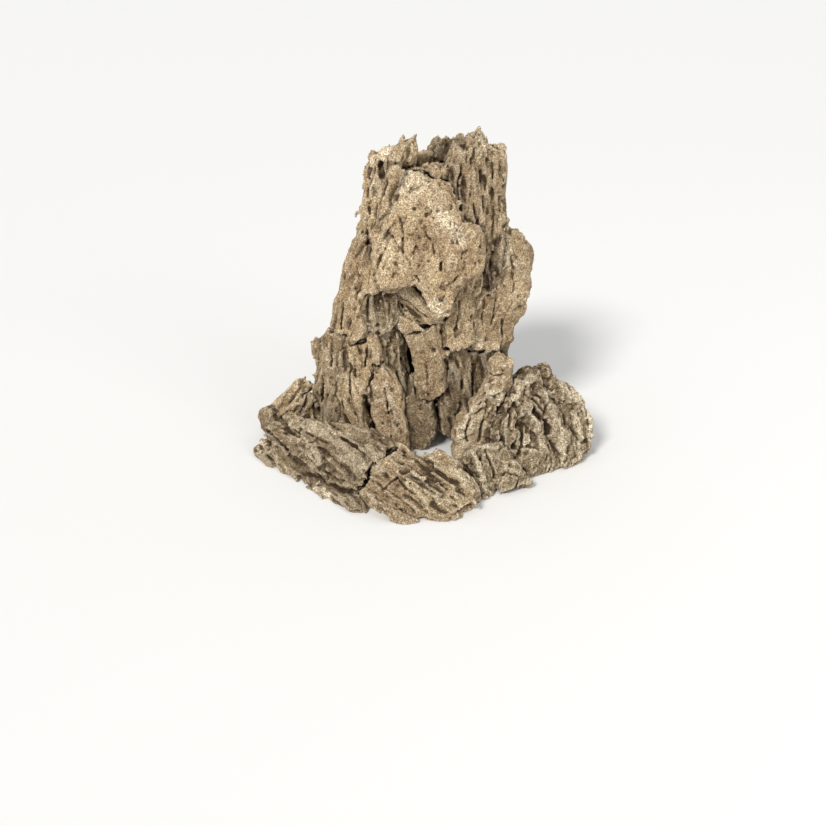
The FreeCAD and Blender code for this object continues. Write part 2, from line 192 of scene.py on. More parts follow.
# The colour factor of each stone is partly its own tone and partly painted shade, lowest on stones that sit in shade
# (cave wall, back centre slab, inner walls); the joint factor scales the painted shade where a neighbouring stone is
# close.
STONES = {
    "face_slab": row(-6, 9, 62, "slab", 1.0, 1.3, 1, ragged=0.4, tint=(1.20, 1.25, 1.31)),
    "tier_slab": row(0, 6, 80, "grain", 0.9, 0.3, 2, tint=(1.23, 1.28, 1.34)),
    "left_column": row(-8, 3, 84, "grain", 1.1, 0.3, 3, ragged=0.8, crown=5.0, tint=(1.25, 1.31, 1.37)),
    "left_rib": row(-10, 6, 75, "grain", 0.7, 0.3, 4, ragged=0.5, tint=(1.25, 1.31, 1.37)),
    "right_column": row(6, 3, 94, "grain", 1.1, 0.3, 5, ragged=0.8, crown=5.0, tint=(0.93, 0.97, 1.02)),
    "back_top_block": row(0, 0, 90, "grain", 0.7, 1.2, 6, ragged=0.4, seam=0.25, tint=(1.25, 1.31, 1.37)),
    "back_centre_slab": row(0, 2, 90, "grain", 1.2, 0.3, 7, pitch=1.5, tint=(0.70, 0.74, 0.77)),
    "flank_slab": row(10, 4, 76, "slab", 0.8, 0.3, 8, ragged=0.7, seam=0.7, tint=(1.03, 1.08, 1.12)),
    "right_rib": row(6, 2, 82, "grain", 0.9, 0.3, 9, ragged=0.35, seam=0.3, tint=(1.11, 1.16, 1.21)),
    "inner_diagonal_slab": row(0, 8, -38, "grain", 0.9, 0.3, 10, ragged=0.35, seam=0.4, tint=(1.10, 1.15, 1.20)),
    "central_shard": row(-4, 4, 97, "slab", 0.7, 0.3, 11, ragged=0.25, seam=0.25, tint=(0.98, 1.03, 1.07)),
    "foot_wedge": row(-6, 4, 100, "slab", 0.7, 0.3, 12, seam=0.5, tint=(0.62, 0.65, 0.68)),
    "inner_left_wall": row(-10, 2, 98, "grain", 0.9, 0.3, 13, tint=(0.58, 0.61, 0.63)),
    "left_blades": row(-12, 5, 94, "grain", 1.1, 0.3, 14, seam=0.6, tint=(0.59, 0.62, 0.64)),
    "left_shoulder": row(-18, 6, 68, "grain", 1.1, 0.3, 15, seam=0.4, tint=(1.25, 1.31, 1.37)),
    "left_outer_stone": row(-26, 4, 84, "grain", 1.0, 0.3, 16, seam=0.4, tint=(0.86, 0.90, 0.94)),
    "left_mid_slab": row(-14, 6, 100, "grain", 1.0, 0.3, 17, seam=0.45, tint=(1.25, 1.31, 1.37)),
    "left_leg_slab": row(-8, 5, 112, "grain", 0.8, 0.3, 18, tint=(1.17, 1.22, 1.28)),
    "left_inner_chip": row(-30, 4, 60, "grain", 0.8, 0.3, 19, tint=(1.25, 1.31, 1.37)),
    "left_rear_chip": row(-35, 4, 50, "grain", 0.9, 0.3, 20, tint=(1.25, 1.31, 1.37)),
    "left_far_chip": row(-38, 4, 45, "grain", 0.7, 0.3, 21, tint=(0.70, 0.74, 0.77)),
    "front_left_stone": row(-44, 38, -8, "grain", 1.1, 0.7, 22, tint=(0.60, 0.63, 0.66)),
    "front_centre_stone": row(2, 46, -38, "grain", 1.1, 0.7, 23, tint=(0.92, 0.96, 1.00)),
    "right_main_stone": row(24, 27, 74, "knob", 1.0, 0.0, 24, tint=(0.58, 0.61, 0.63)),
    "right_spur_stone": row(10, 10, 60, "knob", 0.8, 0.2, 25, tint=(1.04, 1.09, 1.14)),
    "right_front_stone": row(14, 40, 80, "knob", 0.8, 0.0, 26, tint=(0.58, 0.61, 0.63)),
    "back_left_slab": row(24, 3, 86, "grain", 1.2, 0.3, 27, pitch=1.5, tint=(0.98, 1.03, 1.07)),
    "back_right_slab": row(-24, 3, 94, "grain", 1.2, 0.3, 28, pitch=1.5, tint=(0.84, 0.88, 0.92)),
    "cave_wall": row(4, 1, 106, "grain", 1.0, 0.3, 29, pitch=1.2, tint=(0.64, 0.67, 0.70)),
}


# Single cracks, slots, lumps, pale patches and dark patches, each on its stone: points in mm, then the
# width or radius and the height (negative: cut in; for a patch, its strength). Pale patches are the
# stone's own colour; dark patches are painted shade in grooves, holes and shaded slabs.
FEATURES = [
    ("left_column", "rim", [(-47, 39, 275), (-47, 39, 281), (-43, 38, 286), (-38, 38, 288), (-32, 37, 288)], 4.5, 3.4),
    ("left_column", "pale", [(-49, 39, 280), (-44, 39, 286), (-39, 38, 289), (-32, 37, 289)], 6, 0.8),
    ("left_column", "hole", [(-39, 37, 276), (-38, 37, 271), (-38, 37, 267)], 4.0, -6.8),
    ("left_column", "dark", [(-38, 37, 274), (-38, 37, 267)], 4.5, 0.9),
    ("tier_slab", "line", [(-17, 34, 270), (-4, 35, 273), (13, 35, 273)], 3.0, -3.5),
    ("back_centre_slab", "dark", [(26, 91, 277), (29, 91, 262)], 9, 0.6),
    ("left_column", "hole", [(-15, 35, 289), (-15, 34, 274)], 2.6, -6),
    ("left_column", "line", [(-51, 38, 258), (-50, 37, 231), (-53, 36, 204)], 3.0, -4),
    ("left_column", "line", [(-42, 37, 249), (-45, 35, 213), (-49, 34, 188)], 2.5, -4),
    ("left_column", "pale", [(-47, 38, 262), (-43, 37, 254)], 8, 0.5),
    ("right_column", "line", [(59, 36, 277), (60, 35, 265)], 3.6, -6.5),
    ("right_column", "line", [(32, 30, 234), (28, 31, 255), (31, 33, 277)], 3.5, -6),
    ("right_column", "line", [(49, 34, 272), (52, 33, 246), (51, 32, 221)], 3.0, -3.5),
    ("right_column", "line", [(40, 34, 281), (40, 32, 250)], 2.6, -3),
    ("right_column", "pale", [(49, 36, 303), (48, 35, 289)], 6, 0.5),
    ("back_centre_slab", "line", [(17, 91, 264), (30, 91, 265)], 6.0, -6),
    ("back_centre_slab", "dark", [(14, 92, 286), (22, 91, 275), (30, 91, 263)], 13, 0.7),
    ("face_slab", "pale", [(-18, 22, 268), (-7, 21, 267)], 11, 0.9),
    ("face_slab", "pale", [(-18, 20, 256), (-11, 19, 253)], 9, 0.5),
    ("face_slab", "pale", [(17, 13, 237), (24, 11, 229), (31, 9, 217)], 8, 0.9),
    ("face_slab", "pale", [(6, 16, 246), (13, 14, 239)], 6, 0.5),
    ("face_slab", "spot", [(33, 8, 216)], 4, 2.0),
    ("face_slab", "pale", [(3, 1, 152), (12, 1, 158), (18, -1, 150)], 8, 0.9),
    ("face_slab", "pale", [(-38, 15, 212), (-33, 13, 202)], 7, 0.5),
    ("face_slab", "spot", [(-10, 17, 243)], 2.6, -2.6),
    ("face_slab", "spot", [(1, 15, 237)], 2.6, -2.6),
    ("face_slab", "spot", [(-6, 13, 217)], 2.6, -2.6),
    ("face_slab", "spot", [(-32, 11, 190)], 2.6, -2.6),
    ("face_slab", "spot", [(3, 8, 197)], 2.6, -2.6),
    ("face_slab", "hole", [(15, 7, 197), (14, 6, 190)], 1.7, -4),
    ("face_slab", "line", [(-24, 18, 238), (-18, 14, 220), (-20, 12, 205)], 3.0, -3),
    ("face_slab", "line", [(-6, 15, 231), (5, 11, 216), (10, 8, 197)], 2.6, -2.6),
    ("face_slab", "line", [(23, 14, 246), (21, 11, 223), (29, 7, 206)], 2.4, -2.4),
    ("face_slab", "line", [(-29, 15, 218), (-13, 10, 196), (-4, 6, 177)], 3.0, -2.6),
    ("face_slab", "spot", [(9, 13, 232)], 9, 2.4),
    ("face_slab", "spot", [(-24, 11, 196)], 9, 2.2),
    ("face_slab", "spot", [(24, 6, 197)], 9, 2.2),
    ("face_slab", "line", [(36, 8, 217), (35, 4, 193), (24, 3, 178)], 2.6, -3),
    ("flank_slab", "line", [(51, 29, 199), (54, 28, 178)], 3.5, -6),
    ("flank_slab", "pale", [(73, 34, 203), (78, 33, 187)], 6, 0.8),
    ("flank_slab", "pale", [(87, 35, 188), (90, 34, 171)], 5, 0.4),
    ("flank_slab", "line", [(63, 31, 193), (67, 29, 161), (63, 27, 129)], 2.8, -3.2),
    ("flank_slab", "line", [(79, 34, 194), (83, 33, 166), (78, 30, 141)], 2.6, -2.6),
    ("flank_slab", "line", [(55, 27, 154), (54, 25, 125)], 2.6, -3),
    ("flank_slab", "line", [(73, 29, 133), (73, 26, 105)], 3.0, -3.5),
    ("flank_slab", "spot", [(57, 24, 103)], 4, -5),
    ("flank_slab", "spot", [(43, 21, 108)], 4, -5),
    ("right_rib", "line", [(44, 21, 163), (44, 21, 139)], 3.0, -6),
    ("right_rib", "line", [(32, 20, 157), (30, 19, 127)], 2.6, -4),
    ("central_shard", "spot", [(9, 20, 107)], 4, -5),
    ("central_shard", "line", [(-2, 22, 114), (3, 19, 88), (4, 17, 61)], 2.6, -2.6),
    ("left_blades", "line", [(-51, 29, 159), (-51, 27, 134)], 3.5, -6),
    ("left_blades", "line", [(-42, 26, 154), (-43, 24, 130)], 3.5, -6),
    ("left_blades", "line", [(-32, 25, 160), (-32, 22, 134)], 3.2, -6),
    ("left_outer_stone", "line", [(-87, 27, 118), (-87, 25, 90)], 3.5, -5),
    ("left_outer_stone", "line", [(-98, 31, 107), (-99, 28, 59)], 2.8, -3.5),
    ("left_mid_slab", "line", [(-68, 24, 105), (-71, 20, 70), (-66, 16, 40)], 3.0, -3.5),
    ("left_mid_slab", "line", [(-54, 21, 114), (-57, 19, 89)], 2.8, -3.5),
    ("left_mid_slab", "pale", [(-79, 26, 102), (-76, 24, 88)], 6, 0.5),
    ("left_mid_slab", "pale", [(-49, 19, 111), (-45, 17, 102)], 6, 0.5),
    ("left_mid_slab", "hole", [(-57, 16, 58), (-55, 13, 36), (-52, 11, 22)], 4.5, -6),
    ("left_leg_slab", "line", [(-38, 16, 77), (-34, 13, 47), (-31, 10, 18)], 3.0, -3.5),
    ("left_leg_slab", "pale", [(-46, 17, 67), (-43, 15, 57)], 6, 0.5),
    ("inner_diagonal_slab", "line", [(-23, 26, 159), (-4, 23, 143), (11, 22, 135)], 2.6, -3.5),
    ("inner_diagonal_slab", "line", [(-22, 24, 148), (-8, 22, 135), (4, 21, 128)], 2.6, -3.5),
    ("inner_diagonal_slab", "line", [(-21, 22, 136), (-11, 21, 126)], 2.6, -3),
    ("left_shoulder", "line", [(-61, 29, 190), (-59, 25, 169), (-67, 25, 143)], 3.0, -4),
    ("left_shoulder", "line", [(-74, 29, 153), (-78, 27, 126)], 3.0, -4),
    ("left_shoulder", "line", [(-51, 25, 191), (-51, 23, 171)], 2.6, -3.5),
    ("cave_wall", "line", [(37, 26, 79), (36, 26, 57), (35, 25, 34)], 4.0, -6),
    ("cave_wall", "line", [(25, 26, 101), (24, 25, 72)], 9.0, -6),
    ("cave_wall", "line", [(48, 27, 87), (47, 26, 51), (42, 25, 18)], 3.5, -6),
    ("cave_wall", "line", [(16, 24, 61), (14, 24, 39), (16, 24, 19)], 3.5, -5),
    ("cave_wall", "dark", [(22, 26, 104), (23, 25, 73)], 12, 0.7),
    ("cave_wall", "dark", [(57, 28, 91), (65, 28, 78)], 10, 0.7),
    ("front_left_stone", "line", [(-151, 13, 24), (-135, -7, 20), (-121, -23, 18)], 3.0, -4.5),
    ("front_left_stone", "line", [(-144, 14, 31), (-121, -9, 30), (-95, -33, 31), (-72, -58, 29), (-58, -78, 23)], 2.8, -3.0),
    ("front_left_stone", "line", [(-157, 1, 8), (-130, -28, 4), (-95, -62, 4), (-70, -89, 2)], 3.2, -3.5),
    ("front_left_stone", "slab", [(-113, -20, 28), (-98, -28, 33), (-89, -47, 23), (-97, -46, 17), (-108, -31, 21)], 1.6, 3.4),
    ("front_left_stone", "hole", [(-88, -63, 10), (-69, -79, 13), (-56, -92, 11)], 3.6, -6),
    ("front_left_stone", "line", [(-130, -33, 1), (-113, -47, 2), (-86, -65, 10)], 3.2, -4),
    ("front_left_stone", "pale", [(-99, -58, 4), (-85, -72, 3)], 4.5, 1.0),
    ("front_left_stone", "line", [(-78, -35, 44), (-64, -51, 43), (-52, -65, 40), (-40, -81, 36)], 4.2, -5.5),
    ("front_left_stone", "line", [(-118, -5, 37), (-87, -35, 36), (-62, -63, 33)], 2.6, -2.6),
    ("front_left_stone", "line", [(-94, -49, 17), (-76, -67, 17), (-62, -78, 19)], 2.6, -3),
    ("front_left_stone", "pale", [(-161, 12, 15), (-157, 1, 8)], 6, 0.6),
    ("front_left_stone", "pale", [(-128, 4, 36), (-107, -11, 40), (-82, -30, 45)], 5, 0.35),
    ("front_centre_stone", "slab", [(-21, -85, 31), (-11, -81, 35), (16, -96, 20), (11, -101, 15)], 1.6, 3.2),
    ("front_centre_stone", "pale", [(-15, -83, 33), (0, -90, 27), (12, -97, 19)], 4, 0.5),
    ("front_left_stone", "pale", [(-106, -27, 28), (-95, -44, 21)], 5, 0.5),
    ("face_slab", "pale", [(0, 19, 262), (13, 16, 254)], 6, 0.4),
    ("face_slab", "pale", [(-6, 6, 176), (1, 3, 165)], 6, 0.4),
    ("flank_slab", "pale", [(51, 23, 115), (56, 24, 107)], 5, 0.7),
    ("flank_slab", "pale", [(66, 26, 109), (70, 26, 104)], 4, 0.5),
    ("left_leg_slab", "pale", [(-36, 16, 72), (-27, 12, 47), (-23, 10, 27)], 5, 0.5),
    ("left_mid_slab", "pale", [(-76, 23, 79), (-69, 20, 70), (-59, 17, 64)], 6, 0.5),
    ("right_spur_stone", "pale", [(57, -3, 68), (64, -1, 71)], 5, 0.7),
    ("front_centre_stone", "line", [(-24, -86, 31), (-17, -92, 25), (-4, -100, 17)], 2.8, -4.5),
    ("front_centre_stone", "line", [(-37, -94, 23), (-31, -90, 28), (-24, -86, 31)], 3.0, -4),
    ("front_centre_stone", "line", [(-43, -100, 18), (-26, -106, 12), (0, -113, 4)], 3.0, -3.5),
    ("front_centre_stone", "line", [(-31, -75, 42), (-9, -79, 37), (20, -89, 26), (39, -99, 16)], 2.8, -3.5),
    ("front_centre_stone", "line", [(-20, -68, 48), (5, -74, 42), (27, -82, 33)], 2.8, -3.5),
    ("front_centre_stone", "line", [(-46, -87, 31), (-34, -94, 23), (-20, -100, 17)], 2.6, -3),
    ("front_centre_stone", "spot", [(26, -103, 13)], 4.5, -5.5),
    ("front_centre_stone", "red", [(19, -96, 19), (24, -102, 14)], 7, 0.6),
    ("front_centre_stone", "pale", [(27, -80, 35), (38, -86, 29)], 6, 0.5),
    ("right_main_stone", "hole", [(84, -29, 30)], 4.6, -6.8),
    ("right_main_stone", "hole", [(102, -6, 56), (109, -7, 49)], 4.6, -6.8),
    ("right_main_stone", "hole", [(115, -7, 44), (119, -10, 35)], 3.8, -6.8),
    ("right_main_stone", "spot", [(104, -29, 14)], 13, 3.4),
    ("right_main_stone", "spot", [(144, 14, 58)], 8.5, 3.6),
    ("right_main_stone", "spot", [(116, 17, 86)], 6, 3.2),
    ("right_main_stone", "line", [(155, 13, 49), (158, 4, 30), (166, -3, 12)], 3.4, -5),
    ("right_main_stone", "line", [(78, -35, 24), (85, -37, 15), (97, -36, 7)], 3.5, -6),
    ("right_main_stone", "line", [(82, -7, 72), (88, -15, 51), (84, -24, 39)], 4.5, -5),
    ("right_main_stone", "line", [(121, -13, 29), (129, -17, 15), (131, -24, 2)], 3.5, -4.5),
    ("right_main_stone", "line", [(129, 7, 58), (135, 1, 42), (144, -1, 32)], 3.5, -4.5),
    ("right_main_stone", "line", [(97, 1, 72), (109, 2, 65), (121, 2, 55)], 3.5, -4.5),
    ("right_main_stone", "spot", [(135, -7, 28)], 9, 2.6),
    ("right_main_stone", "spot", [(95, 3, 77)], 7, 2.4),
    ("right_main_stone", "pale", [(140, 16, 65), (147, 16, 59)], 6, 0.8),
    ("right_main_stone", "pale", [(92, -23, 34), (102, -23, 26)], 6, 0.8),
    ("right_main_stone", "pale", [(158, 12, 45), (160, 0, 21)], 4, 0.5),
    ("right_spur_stone", "pale", [(67, -1, 69), (74, -2, 57), (78, -3, 47)], 6, 1.0),
    ("right_spur_stone", "pale", [(30, -13, 35), (41, -10, 40), (53, -8, 44)], 6, 0.9),
    ("right_spur_stone", "line", [(61, -2, 69), (56, -7, 46), (51, -11, 27)], 3.0, -4),
    ("right_spur_stone", "spot", [(77, 6, 97)], 6, 2.0),
    ("right_front_stone", "pale", [(46, -38, 42), (57, -39, 39)], 6, 0.9),
    ("right_front_stone", "line", [(56, -43, 34), (63, -54, 20), (67, -65, 5)], 3.2, -5),
    ("right_front_stone", "line", [(43, -56, 23), (52, -62, 14)], 3.0, -4),
    ("right_spur_stone", "rim", [(69, 0, 70), (75, -2, 55), (78, -4, 41), (75, -7, 25), (81, -9, 9)], 6, 3.2),
    ("right_spur_stone", "rim", [(56, -1, 79), (45, -6, 59), (37, -11, 40)], 5, 2.4),
    ("right_spur_stone", "pale", [(34, -13, 33), (44, -13, 22)], 5, 0.6),
    ("right_main_stone", "rim", [(115, 6, 68), (122, 1, 53), (129, -9, 30), (133, -19, 8)], 6.5, 3.4),
    ("right_main_stone", "rim", [(96, -7, 59), (105, -11, 45), (112, -18, 27)], 6, 3.2),
    ("right_main_stone", "rim", [(153, 14, 53), (160, 7, 35), (162, -2, 16)], 4.5, 3.2),
    ("right_main_stone", "rim", [(143, 7, 46), (151, -2, 24), (149, -12, 8)], 4.5, 3.0),
    ("right_main_stone", "rim", [(84, -7, 70), (90, 2, 80), (101, 9, 83)], 5, 2.6),
    ("right_main_stone", "rim", [(129, 16, 73), (139, 14, 63), (152, 15, 55)], 5, 2.6),
    ("right_main_stone", "line", [(81, 3, 90), (84, -7, 70), (79, -22, 46)], 4.2, -6),
    ("right_main_stone", "line", [(88, -20, 43), (84, -28, 31), (91, -29, 24)], 3.6, -5.5),
    ("right_main_stone", "line", [(124, 6, 61), (134, 3, 48), (137, -2, 35)], 3.6, -5.5),
    ("right_main_stone", "line", [(137, -2, 35), (143, -8, 19), (141, -17, 5)], 3.4, -5),
    ("right_main_stone", "line", [(118, -17, 24), (122, -23, 10), (118, -30, 1)], 3.4, -5),
    ("right_main_stone", "line", [(93, -2, 71), (103, -2, 63), (113, -3, 53)], 3.4, -5),
    ("right_front_stone", "rim", [(42, -47, 34), (53, -41, 38), (66, -39, 36)], 4.5, 2.6),
    ("right_front_stone", "rim", [(45, -48, 32), (52, -57, 19), (54, -69, 5)], 4.5, 2.8),
    ("right_front_stone", "line", [(38, -51, 31), (45, -59, 19), (50, -71, 4)], 3.2, -5),
]


def local_axes(yaw, lean):
    ps, al = math.radians(yaw), math.radians(lean)
    n = np.array([math.sin(ps) * math.cos(al), -math.cos(ps) * math.cos(al), math.sin(al)])
    u = np.array([math.cos(ps), math.sin(ps), 0.0])
    return u, np.cross(n, u), n


def steps(h, soft=0.30, slope=0.35):
    """Flat treads with a quick rise at the end of each."""
    k = np.floor(h)
    f = h - k
    return k + f4(slope) * f + f4(1 - slope) * smooth(1 - soft, 1.0, f)


def vein(x, y, z, seed, width):
    """1 along thin winding lines, 0 elsewhere."""
    return 1 - smooth(0.0, width, np.abs(2 * vnoise(x, y, z, seed) - 1))


def segment_distance(x, y, pts):
    best = np.full(x.shape, 1e6, f4)
    if len(pts) == 1:
        return np.hypot(x - f4(pts[0][0]), y - f4(pts[0][1]))
    for (ax, ay), (bx, by) in zip(pts[:-1], pts[1:]):
        dx, dy = bx - ax, by - ay
        t = np.clip(((x - f4(ax)) * f4(dx) + (y - f4(ay)) * f4(dy)) / f4(dx * dx + dy * dy + 1e-6), 0, 1)
        best = np.minimum(best, np.hypot(x - f4(ax) - t * f4(dx), y - f4(ay) - t * f4(dy)))
    return best


def inside(x, y, pts):
    hit = np.zeros(x.shape, bool)
    for (ax, ay), (bx, by) in zip(pts, pts[1:] + pts[:1]):
        if ay != by:
            hit ^= ((y > ay) != (y > by)) & (x < (bx - ax) * (y - ay) / (by - ay) + ax)
    return hit


def placed(name, s, P, grad):
    """The single features of one stone: height in mm and a tone value, raised by the stone's own pale patches and by a
    painted highlight on rims, lowered by painted shade in holes and dark patches.
    """
    u, v, n = local_axes(s["yaw"], s["lean"])
    x = (P @ u).astype(f4)
    y = (P @ v).astype(f4)
    wob = fbm(P[:, 0] / 6, P[:, 1] / 6, P[:, 2] / 6, s["seed"] + 40, 2)
    wob2 = fbm(P[:, 0] / 6, P[:, 1] / 6, P[:, 2] / 6, s["seed"] + 44, 2)
    x = x + 1.8 * wob
    y = y + 1.8 * wob2
    front = smooth(0.0, 0.45, (grad @ n).astype(f4))
    fade = 0.30 + 0.75 * smooth(0.30, 0.62, vnoise(P[:, 0] / 7, P[:, 1] / 7, P[:, 2] / 7, s["seed"] + 47))
    h = np.zeros(len(P), f4)
    tone = np.zeros(len(P), f4)
    for node, kind, pts, w, a in FEATURES:
        if node != name:
            continue
        q = [(float(np.dot(p, u)), float(np.dot(p, v))) for p in pts]
        d = segment_distance(x, y, q)
        if kind == "line":
            h += f4(a * 0.72) * (1 - smooth(0.0, 1.0, d / (f4(w * 0.62) * (0.55 + 0.5 * fade)))) * front * fade
        elif kind == "hole":
            cut = 1 - smooth(0.35 * w, w, d + 0.6 * wob)
            h += f4(a) * cut * front
            # painted shade in the hole
            tone -= 0.9 * cut * front
        elif kind == "rim":
            h += f4(a) * (1 - smooth(0.2 * w, w, d)) * front
            # painted highlight along the raised rim
            tone += 0.5 * (1 - smooth(0.3 * w, 1.2 * w, d)) * front
        elif kind == "spot":
            if a < 0:
                h += f4(a * 0.8) * (1 - smooth(0.0, w, d * (1 + 0.5 * wob) + 0.9 * wob2)) * front
            else:
                h += f4(a) * np.clip(1 - (d / f4(w)) ** 2, 0, 1) ** 0.7 * front
        elif kind == "slab":
            d = segment_distance(x, y, q + q[:1])
            signed = np.where(inside(x, y, q), d, -d)
            h += f4(a) * smooth(-0.5, w, signed) * front
        else:
            # pale patches are the stone's own colour; dark patches are painted shade
            blob_patch_and_shade = (1 - smooth(0.35 * w, 1.25 * w, d + 2.2 * wob)) * front * f4(a)
            tone += blob_patch_and_shade if kind == "pale" else -blob_patch_and_shade if kind == "dark" else 0
    return h, tone


def relief(s, P, grad):
    """Outward displacement in mm at the points P (n, 3)."""
    u, v, n = local_axes(s["yaw"], s["lean"])
    g = math.radians(s["grain"])
    along = u * math.cos(g) + v * math.sin(g)
    across = -u * math.sin(g) + v * math.cos(g)
    G = (P @ along).astype(f4)
    A = (P @ across).astype(f4)
    C = (P @ n).astype(f4)
    X, Y, Z = P[:, 0], P[:, 1], P[:, 2]
    sd = s["seed"] * 7
    # bend the grain a little
    wa = fbm(A / 30, G / 60, C / 30, sd, 2)
    wa2 = fbm(A / 8, G / 18, C / 8, sd + 5, 2)
    A2 = A + 7 * wa + 2.2 * wa2
    C2 = C - 5 * wa + 1.6 * wa2
    G2 = G + 9 * wa
    end = np.clip((np.abs(grad @ along) - 0.45) / 0.4, 0, 1).astype(f4)
    k = s["kind"]
    big = fbm(X / 40, Y / 40, Z / 40, sd + 8, 2)
    grit = fbm(X / 2.3, Y / 2.3, Z / 2.3, sd + 33, 2, 0.7)
    nub = fbm(X / 5.5, Y / 5.5, Z / 5.5, sd + 36, 2, 0.6)
    if k == "knob":
        wx = 3.4 * fbm(X / 9, Y / 9, Z / 9, sd + 40, 2)
        wy = 3.4 * fbm(X / 9, Y / 9, Z / 9, sd + 42, 2)
        f1, f2, val = cells((A2 + wx) / 19, (G2 + wy) / 31, (C2 + wx - wy) / 19, sd + 11, 0.95)
        lump = 9.5 * (0.34 - np.minimum(f1, 0.85) ** 2) + 3.6 * (val - 0.5)
        f1b, f2b, valb = cells((X + wy) / 8.5, (Y + wx) / 8.5, (Z - wx) / 8.5, sd + 15, 0.95)
        lump += 1.7 * (0.40 - np.minimum(f1b, 0.85) ** 2) + 1.6 * (valb - 0.5)
        hole = vein(X / 15, Y / 15, Z / 15, sd + 18, 0.20) * smooth(0.56, 0.70, vnoise(X / 17, Y / 17, Z / 17, sd + 19))
        d = 2.4 * big + lump - 5.0 * hole - 0.6
        d += 1.3 * (1 - np.abs(2 * vnoise(A2 / 3.6, G2 / 13, C2 / 3.6, sd + 20) - 1) - 0.5)
        d += 0.8 * nub
    else:
        slab = k == "slab"
        wide1, long1 = (24.0, 38.0) if slab else (15.0, 58.0)
        n1 = vnoise(A2 / wide1, G2 / long1, C2 / wide1, sd + 11)
        n2 = vnoise(A2 / (wide1 * 0.42), G2 / (long1 * 0.42), C2 / (wide1 * 0.42), sd + 13)
        d = (3.2 if slab else 2.6) * big
        fine = fbm(A / 4.5, G / 9, C / 4.5, sd + 10, 2)
        d += (1.5 if slab else 2.3) * (steps(n1 * 4.0 + n2 * 1.1 + 0.35 * fine) - 2.2)
        d += (0.75 if slab else 1.25) * (steps(n2 * 4.0 + 0.5 * wa2 + 0.35 * fine) - 2.0)
        n3 = vnoise(A2 / 3.8, G2 / 9.5, C2 / 3.8, sd + 14)
        d += (0.7 if slab else 0.9) * (steps(n3 * 3.0, 0.5) - 1.4)
        rid = 1 - np.abs(2 * vnoise(A2 / 3.3, G2 / 21, C2 / 3.3, sd + 20) - 1)
        rid2 = 1 - np.abs(2 * vnoise(A2 / 6.5, G2 / 36, C2 / 6.5, sd + 21) - 1)
        d += (0.8 if slab else 1.5) * (rid - 0.5) + (0.8 if slab else 2.0) * (rid2 - 0.5)
        where1 = smooth(0.50, 0.66, vnoise(A2 / 22, G2 / 40, C2 / 22, sd + 23)) * (0.5 if slab else 1.0)
        where2 = smooth(0.50, 0.64, vnoise(A2 / 13, G2 / 26, C2 / 13, sd + 24)) * (0.6 if slab else 1.0)
        torn = 0.35 + 0.65 * smooth(0.3, 0.6, vnoise(A2 / 6, G2 / 11, C2 / 6, sd + 27))
        d -= 2.6 * vein(A2 / 15, G2 / 75, C2 / 15, sd + 16, 0.22) * where1 * torn
        d -= 1.6 * vein(A2 / 7, G2 / 34, C2 / 7, sd + 17, 0.40) * where2 * torn
        pit = smooth(0.74, 0.86, vnoise(A / 4.4, G / 7.5, C / 4.4, sd + 26))
        d -= (0.6 if slab else 1.2) * pit
        d += (1.5 if slab else 0.9) * nub
        # broken ends: each plate stops at its own height
        e1, e2, ev = cells(A2 / 8.5, C2 / 8.5, G2 / 400, sd + 25, 0.9)
        e3, e4, ew = cells(A2 / 3.6, C2 / 3.6, G2 / 400, sd + 29, 0.9)
        d += end * (6.5 * (ev - 0.88) + 3.0 * (ew - 0.6)) * f4(s.get("ragged", 1.0))
    side = 1 - smooth(0.35, 0.85, np.abs(grad @ n).astype(f4))
    d += side * 3.4 * fbm(X / 8, Y / 8, Z / 8, sd + 52, 2)
    d -= s.get("crown", 0.0) * smooth(0.35, 0.8, (grad @ along).astype(f4) * f4(1 if along[2] > 0 else -1))
    d = d * s["amp"] + 1.05 * grit
    return d.astype(f4)


def carve(name):
    """Vertices (mm) and triangles of one CAD solid."""
    me = frame["nodes"][name].data
    me.calc_loop_triangles()
    co = np.empty(len(me.vertices) * 3, f4)
    me.vertices.foreach_get("co", co)
    tri = np.empty(len(me.loop_triangles) * 3, np.int32)
    me.loop_triangles.foreach_get("vertices", tri)
    return co.reshape(-1, 3) * 1000.0, tri.reshape(-1, 3)


